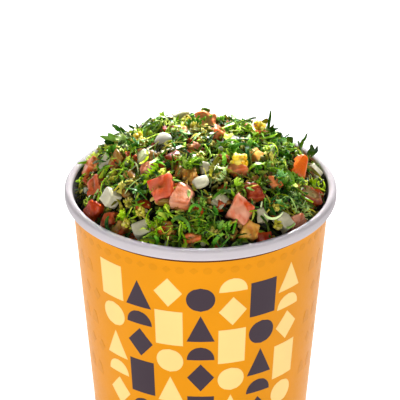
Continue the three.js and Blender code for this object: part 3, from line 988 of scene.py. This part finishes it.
def make_leaves():
    """Flat scraps of leaf over the whole heap"""
    rng = np.random.default_rng(106)
    teeth = 10
    x, y = scatter(rng, LEAVES)
    lift = -3.4 + 4.0 * rng.beta(1.4, 1.3, LEAVES) + CLUMP_RISE * clump(x, y)
    x, y, lift, size = thinned(rng, 0.14, x, y, lift, rng.uniform(2.5, 7, LEAVES))
    count = len(x)
    shapes = leaf_shapes(rng, size, size * rng.uniform(0.1, 0.2, count), teeth)
    turn = rng.uniform(0, 2 * math.pi, count)
    placed = settle(shapes, x, y, lift, turn, rng.normal(0, 0.7, count), rng.normal(0, 0.7, count))
    # The margin counts as edge for the painted highlight, and each scrap's lift sets its painted shade
    margin = np.tile(np.repeat([0.0, 0.2, 1.0], [1, teeth, teeth]), 2)
    tint = green_tints(rng, green_kinds(rng, x, y), lift, margin)
    salad_piece("parsley_leaves", placed, leaf_faces(teeth), herb, tint)


def frill_shapes(rng, size):
    """Fans of curly leaf whose margin is ruffled and toothed"""
    count = len(size)
    ring = np.linspace(0.12, 1, FRILL_RINGS + 1)[None, :, None]
    sweep = np.linspace(-0.5, 0.5, FRILL_TURNS + 1)[None, None]
    angle = sweep * rng.uniform(1.6, 3.6, (count, 1, 1))
    tooth = 1 - 0.22 * rng.random((count, 1, FRILL_TURNS + 1)) * ring**2
    tooth -= 0.12 * (np.arange(FRILL_TURNS + 1) % 2) * ring**2
    radius = size[:, None, None] * 0.75 * ring * tooth
    waves = rng.uniform(3, 5.5, (count, 1, 1))
    phase = rng.uniform(0, 6, (count, 1, 1))
    ruffle = size[:, None, None] * rng.uniform(0.12, 0.26, (count, 1, 1)) * ring**1.6
    height = ruffle * np.sin(2 * math.pi * waves * sweep + phase)
    height = height + size[:, None, None] * rng.normal(0.1, 0.25, (count, 1, 1)) * ring**2
    fan = np.stack([radius * np.cos(angle), radius * np.sin(angle), height], axis=-1)
    fan = fan.reshape(count, -1, 3) - np.array([0.35, 0, 0]) * size[:, None, None]
    return np.concatenate([fan, fan - np.array([0, 0, 0.22])], axis=1)


def make_frills():
    """Curly tufts of leaf, each a few fans of one green set at odds with each other"""
    rng = np.random.default_rng(110)
    x, y = scatter(rng, LOOSE_TUFTS, 49.0)
    x, y, _ = thinned(rng, 0.0, x, y, np.zeros(LOOSE_TUFTS))
    kinds = green_kinds(rng, x, y)
    rows = [(u, v, size, GREEN_NAMES.index(kind)) for u, v, size, kind in SHOWN_TUFTS]
    rows += list(zip(x, y, rng.uniform(5, 9.5, len(x)), kinds))
    x, y, size, kinds = np.repeat(np.array(rows), FANS, axis=0).T
    count = len(x)
    x = x + rng.normal(0, 0.22, count) * size
    y = y + rng.normal(0, 0.22, count) * size
    size = size * rng.uniform(0.45, 0.8, count)
    lift = rng.uniform(-0.8, 0.9, count)
    turn = rng.uniform(0, 2 * math.pi, count)
    tip = rng.uniform(0.0, 1.1, count)
    placed = settle(frill_shapes(rng, size), x, y, lift, turn, tip, rng.normal(0, 0.6, count))
    # The outer rings count as edge for the painted highlight; the lift is raised by 0.6, so the frills get
    # less painted shade
    margin = np.tile(np.repeat(np.linspace(0, 1, FRILL_RINGS + 1), FRILL_TURNS + 1), 2) ** 1.5
    tint = green_tints(rng, kinds.astype(int), lift + 0.6, margin)
    salad_piece("parsley_frills", placed, slab_faces(FRILL_RINGS, FRILL_TURNS), herb, tint, smooth=True)


def make_stems():
    """Pale cut stems, and the blades that stand proud of the outline"""
    rng = np.random.default_rng(107)
    x, y = scatter(rng, STEMS)
    x, y, lift = thinned(rng, 0.15, x, y, rng.uniform(-1.8, 1.2, STEMS))
    count = len(x)
    blades = np.array(SHOWN_BLADES)
    total = count + len(blades)
    length = np.concatenate([rng.uniform(3, 9, count), blades[:, 2]])
    width = np.concatenate([rng.uniform(0.5, 1.2, count), np.full(len(blades), 1.1)])
    shapes = ribbon_shapes(
        length, width, width * 0.7, rng.normal(0.3, 0.4, total), rng.normal(0, 0.6, total),
        rng.normal(0, 0.5, total), np.concatenate([np.full(count, 0.1), np.full(len(blades), 0.7)]), 7,
    )
    x = np.concatenate([x, blades[:, 0]])
    y = np.concatenate([y, blades[:, 1]])
    lift = np.concatenate([lift, np.full(len(blades), 2.5)])
    turn = np.concatenate([rng.uniform(0, 2 * math.pi, count), np.radians(blades[:, 3])])
    tip = np.concatenate([rng.normal(0, 0.35, count), np.radians(blades[:, 4])])
    placed = settle(shapes, x, y, lift, turn, tip)
    pales = palette((140, 172, 60), (172, 190, 90), (196, 206, 140), (110, 146, 46))
    kinds = pales[rng.integers(0, 4, total)] * 0.8
    kinds[count:] = srgb(48, 76, 30)
    salad_piece("parsley_stems", placed, ribbon_faces(7), stem_green, kinds)


def make_sprigs():
    """Blades and small leaves that stand on the outline, each run from its foot to its tip"""
    rng = np.random.default_rng(111)
    x, y, over_rim, run, rise, width = np.array([row[:6] for row in SHOWN_SPRIGS]).T
    count = len(x)
    length = np.hypot(run, rise)
    stations = 9
    shapes = ribbon_shapes(
        length, width, np.full(count, 0.3), rng.normal(0, 0.5, count), rng.normal(0, 0.4, count),
        rng.normal(0, 0.6, count), np.full(count, 0.9), stations,
    )
    shapes = wobble(shapes, rng, 0.2, 2.4)
    forward = np.stack([run, np.zeros(count), rise], axis=-1) / length[:, None]
    facing = np.cross(forward, np.cross(np.array([0, -1.0, 0.5]), forward))
    facing /= np.linalg.norm(facing, axis=-1, keepdims=True)
    matrix = np.stack([forward, np.cross(facing, forward), facing], axis=-1)
    middle = np.stack([x + run / 2, y, TUB_HEIGHT + over_rim + rise / 2], axis=-1)
    placed = np.einsum("nij,nkj->nki", matrix, shapes) + middle[:, None]
    placed[..., 2] = np.minimum(placed[..., 2], HEAP_CEILING)
    kinds = np.array([GREEN_NAMES.index(row[6]) for row in SHOWN_SPRIGS])
    # Painted shade as at a fixed depth just below the top, and the margin's painted highlight paling each
    # sprig towards its foot
    ends = np.repeat(np.linspace(1, 0, stations), TUBE_SIDES)
    tint = green_tints(rng, kinds, np.full(count, 0.2), ends)
    tint[kinds == GREEN_NAMES.index("mint")] *= 2.2
    salad_piece("parsley_sprigs", placed, ribbon_faces(stations), herb, tint)


def make_core():
    """Packed salad under the loose pieces, filling the tub down to its base, coloured near black as painted
    shade that shows in the gaps
    """
    edge = TUB_HEIGHT - EDGE_DROP - CROWN_RISE * 0.1 - 2.4
    side = [circle(wall_inside(z) - GAP, z, TURNS) for z in (SALAD_FLOOR, edge)]
    radius = HEAP_RADIUS * np.arange(CORE_RINGS, 0, -1)[:, None] / CORE_RINGS
    x, y = radius * np.cos(TURNS), radius * np.sin(TURNS)
    swirl = np.sin(1.3 * x + 2 * np.sin(0.9 * y)) * np.cos(1.1 * y - 1.5 * np.sin(0.8 * x))
    chop = np.sin(3.1 * x + 2.3 * np.sin(2.7 * y)) * np.sin(3.7 * y + 2.1 * np.sin(2.3 * x))
    height = heap_top(x, y) - CORE_DEPTH + 0.5 * swirl + 0.7 * chop + 1.2 * clump(x, y)
    for u, v, size, *_ in gap_rows:
        height -= 3.0 * np.exp(-((x - u) ** 2 + (y - v) ** 2) / size**2)
    ends = [(0, 0, SALAD_FLOOR), (0, 0, heap_top(0.0, 0.0) - CORE_DEPTH + 0.2)]
    points = np.concatenate([*side, circle(radius, height, TURNS), ends])
    bottom, top = len(points) - 2, len(points) - 1
    last = bottom - TURN_STEPS
    faces = []
    for turn in range(TURN_STEPS):
        after = (turn + 1) % TURN_STEPS
        faces += [[bottom, after, turn], [top, last + turn, last + after]]
    # Painted shade: the core is near black, so the gaps between the herbs read as deep shadow
    core_shade_colours = palette((12, 22, 5), (20, 25, 7), (28, 20, 8), (8, 16, 5))
    tint = core_shade_colours[np.random.default_rng(108).integers(0, 4, len(points))]
    faces += loop_quads(len(side) + CORE_RINGS)
    piece = finish("salad_core", points, faces, [packed_herb_shade], tint, smooth=True)
    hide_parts("salad_heap")


# Tub

def arc(centre_r, centre_z, radius, start, end, steps):
    angles = np.radians(np.linspace(start, end, steps + 1))
    return [(centre_r + radius * math.cos(a), centre_z + radius * math.sin(a)) for a in angles]


def seam_lap(angle):
    """How far the wall's outside steps out where its ends overlap, for angles in radians"""
    turned = (np.asarray(angle) - math.radians(SEAM_ANGLE) + math.pi) % (2 * math.pi) - math.pi
    away = np.abs(turned) * (wall_inside(TUB_HEIGHT / 2) + PAPER)
    return SEAM_STEP * np.clip(SEAM_WIDTH / 2 - away, 0, 1)


def make_tub_wall():
    """The paper cone, printed outside, white board on the roll and a dark grey board inside as painted shade,
    with its rolled rim and side seam
    """
    roll_centre = RIM_RADIUS - ROLL_RADIUS
    inner = ROLL_RADIUS - PAPER
    hem_gap = PAPER + 2 * GAP
    hem_depth = hem_gap + PAPER
    rises = np.linspace(FOLD_RADIUS, ROLL_BOTTOM, 30)
    fold = [
        (wall_inside(HEM_HEIGHT) - hem_depth, HEM_HEIGHT),
        (wall_inside(FOLD_RADIUS) - hem_depth, FOLD_RADIUS),
        (wall_inside(0) - hem_depth + FOLD_RADIUS, 0),
        (wall_inside(0) + PAPER - FOLD_RADIUS, 0),
    ]
    printed_side = [
        *fold,
        *[(wall_inside(z) + PAPER, z) for z in rises],
        *arc(roll_centre, ROLL_TOP, inner, 180, 0, 8),
        *arc(roll_centre, ROLL_BOTTOM, inner, 0, -90 - ROLL_TUCK, 8),
    ]
    white_side = [
        *arc(roll_centre, ROLL_BOTTOM, ROLL_RADIUS, -90 - ROLL_TUCK, 0, 10),
        *arc(roll_centre, ROLL_TOP, ROLL_RADIUS, 0, 180, 16),
        (wall_inside(PAPER), PAPER),
        (wall_inside(PAPER) - hem_gap, PAPER),
        (wall_inside(HEM_HEIGHT) - hem_gap, HEM_HEIGHT),
    ]
    profile = np.array(printed_side + white_side)
    radius = np.repeat(profile[:, :1], TURN_STEPS, axis=1)
    radius[len(fold):len(fold) + len(rises) - 1] += seam_lap(TURNS)
    points = circle(radius, profile[:, 1:], TURNS)
    inside = 4  # rows from the end of the roll down to the hem
    rows = [len(printed_side) - 1, len(white_side) + 1 - inside, inside]
    slots = np.repeat([0, 1, 2], np.array(rows) * TURN_STEPS)
    # The last rows, inside the tub, get the dark grey board as painted shade
    papers = [printed_orange, white_board, shaded_inner_board]
    quads = loop_quads(len(profile), closed=True)
    piece = finish("tub_wall_paper", points, quads, papers, None, slots, smooth=True)
    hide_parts("tub_wall")


PRINT_RADIUS = wall_inside(TUB_HEIGHT / 2) + PAPER
HALF_TURN = math.pi * PRINT_RADIUS


def curved_patch(kind, s, z, width, height, columns, rows):
    """A print shape as a thin closed patch on the wall, centred at a way along it and a height"""
    points = []
    for lift in (INK_LIFT, INK_LIFT - INK_THICKNESS):
        for rise in np.linspace(0, 1, rows + 1):
            half = width * shape_half(kind, rise)
            level = z + (rise - 0.5) * height
            angle = math.radians(-90) + np.linspace(s - half, s + half, columns + 1) / PRINT_RADIUS
            points += circle(wall_inside(level) + PAPER + lift + seam_lap(angle), level, angle).tolist()
    return points, [[face[0]] + face[:0:-1] for face in slab_faces(rows, columns)]


def print_shapes():
    """Simple shapes of the print: kind, colour, centre along the wall, centre height, width, height"""
    shapes = []
    kinds = list(SHAPE_HEIGHTS)
    draw = draws(909)
    for column in range(SHAPE_COLUMNS):
        s = (column - (SHAPE_COLUMNS - 1) / 2) * SHAPE_PITCH
        colour = "plum" if column % 2 else "cream"
        z = SHAPES_HIGH - 4 * (column % 2)
        index = column * 2
        while z > SHAPES_LOW:
            kind = kinds[index % len(kinds)]
            height = SHAPE_HEIGHTS[kind]
            shapes.append((kind, colour, s, z - height / 2, SHAPE_WIDTH, height))
            z -= height + 2.0 + next(draw)
            index += 1
    return shapes


def shape_half(kind, rise):
    """Half width of a print shape one unit wide, at a share of its height"""
    if kind == "bar":
        return 0.5
    if kind == "disc":
        return 0.5 * math.sqrt(max(1 - (2 * rise - 1) ** 2, 0))
    if kind == "half":
        return 0.5 * math.sqrt(max(1 - rise**2, 0))
    if kind == "wedge":
        return 0.5 * (1 - rise)
    return 0.5 * (1 - abs(2 * rise - 1))


def tone_shapes():
    """Faint motifs in a darker orange: a row of beads under the rim and a few at the sides"""
    shapes = []
    for bead in range(BEADS):
        s = HALF_TURN * (2 * (bead + 0.5) / BEADS - 1)
        shapes.append((["disc", "lozenge"][bead % 2], "tone", s, BEAD_HEIGHT, 3.6, 3.2))
    for row, z in enumerate(TONE_HEIGHTS):
        for s in TONE_PLACES:
            shapes.append((["half", "lozenge"][row % 2], "tone", s + 4 * (row % 2), z, 5, 6))
    return shapes


def make_prints():
    """The print, a piece for each ink: shapes at the front and the back, beads, and a brown band all round
    under the roll that is painted shadow of the rim
    """
    shapes = print_shapes()
    shapes += [(kind, own, s + HALF_TURN, *rest) for kind, own, s, *rest in shapes]
    shapes += tone_shapes()
    # The brown band under the roll is painted shadow of the rim roll
    shapes.append(("bar", "brown", 0, (RIM_SHADOW_LOW + RIM_SHADOW_HIGH) / 2, 2 * HALF_TURN, RIM_SHADOW_HIGH - RIM_SHADOW_LOW))
    for colour, material in INKS.items():
        points, faces = [], []
        for kind, own, s, z, width, height in shapes:
            if own != colour:
                continue
            steps = 2 if kind in ("wedge", "bar") else 16
            columns = TURN_STEPS if width > HALF_TURN else 8
            more, quads = curved_patch(kind, s, z, width, height, columns, steps)
            faces += [[corner + len(points) for corner in quad] for quad in quads]
            points += more
        piece = finish("print_" + colour, points, faces, [material])


def paper_base():
    """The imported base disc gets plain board"""
    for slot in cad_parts["tub_base"].material_slots:
        slot.material = white_board


paper_base()
make_tub_wall()
make_prints()
make_core()
make_tomatoes()
make_onions()
make_crumbs()
make_grains()
make_shreds()
make_leaves()
make_frills()
make_stems()
make_sprigs()


# Studio: a white floor, a dim white world, and lights at both sides, behind and in front

def make_floor():
    """A white disc whose far edge turns up, so that level views end in white as well"""
    angle = np.arange(FLOOR_TURNS) * 2 * math.pi / FLOOR_TURNS
    points = np.concatenate([circle(FLOOR_RADIUS, z, angle) for z in (0, FLOOR_EDGE)]).tolist()
    faces = [tuple(range(FLOOR_TURNS))]
    for turn in range(FLOOR_TURNS):
        after = (turn + 1) % FLOOR_TURNS
        faces.append((turn, turn + FLOOR_TURNS, after + FLOOR_TURNS, after))
    mesh = bpy.data.meshes.new("floor")
    mesh.from_pydata(points, [], faces)
    paint = Paint("white_floor")
    grey, white = (0.3, 0.3, 0.3, 1), (1, 1, 1, 1)
    values = {"Base Color": grey, "Roughness": 0.9, "Emission Color": white, "Emission Strength": 1.0}
    paint.fill(paint.shader, values)
    mesh.materials.append(paint.material)
    floor = bpy.data.objects.new("floor", mesh)
    bpy.context.scene.collection.objects.link(floor)


def make_world():
    world = bpy.data.worlds.new("studio")
    world.use_nodes = True
    background = world.node_tree.nodes["Background"]
    background.inputs["Color"].default_value = (1, 1, 1, 1)
    background.inputs["Strength"].default_value = 0.06
    bpy.context.scene.world = world


def add_light(name, place, aim, size, power, beam):
    """A soft light with four sides, turned to its aim"""
    data = bpy.data.lights.new(name, "AREA")
    data.shape = "RECTANGLE"
    data.size, data.size_y = size
    data.energy = power
    data.spread = math.radians(beam)
    light = bpy.data.objects.new(name, data)
    place, aim = np.array(place) * MM, np.array(aim) * MM
    light.location = place
    direction = aim - place
    yaw = math.atan2(direction[1], direction[0])
    drop = math.atan2(math.hypot(direction[0], direction[1]), -direction[2])
    light.rotation_euler = (drop, 0, yaw - math.pi / 2)
    bpy.context.scene.collection.objects.link(light)


def make_camera():
    data = bpy.data.cameras.new("camera")
    data.sensor_width = SENSOR
    data.lens = SENSOR * FOCAL_PIXELS / PHOTO_SIZE
    data.clip_start = 0.01
    data.clip_end = 100
    camera = bpy.data.objects.new("camera", data)
    rise = math.radians(CAMERA_RISE)
    camera.location = (
        CAMERA_SIDE * MM,
        -CAMERA_DISTANCE * math.cos(rise) * MM,
        (TUB_HEIGHT + CAMERA_DISTANCE * math.sin(rise)) * MM,
    )
    camera.rotation_euler = (math.radians(90 - CAMERA_PITCH), 0, 0)
    bpy.context.scene.collection.objects.link(camera)
    bpy.context.scene.camera = camera


make_floor()
make_world()
make_camera()
for light_name, light in LIGHTS.items():
    add_light(light_name, *light)

scene = bpy.context.scene
scene.view_settings.view_transform = "Standard"
scene.view_settings.look = "None"
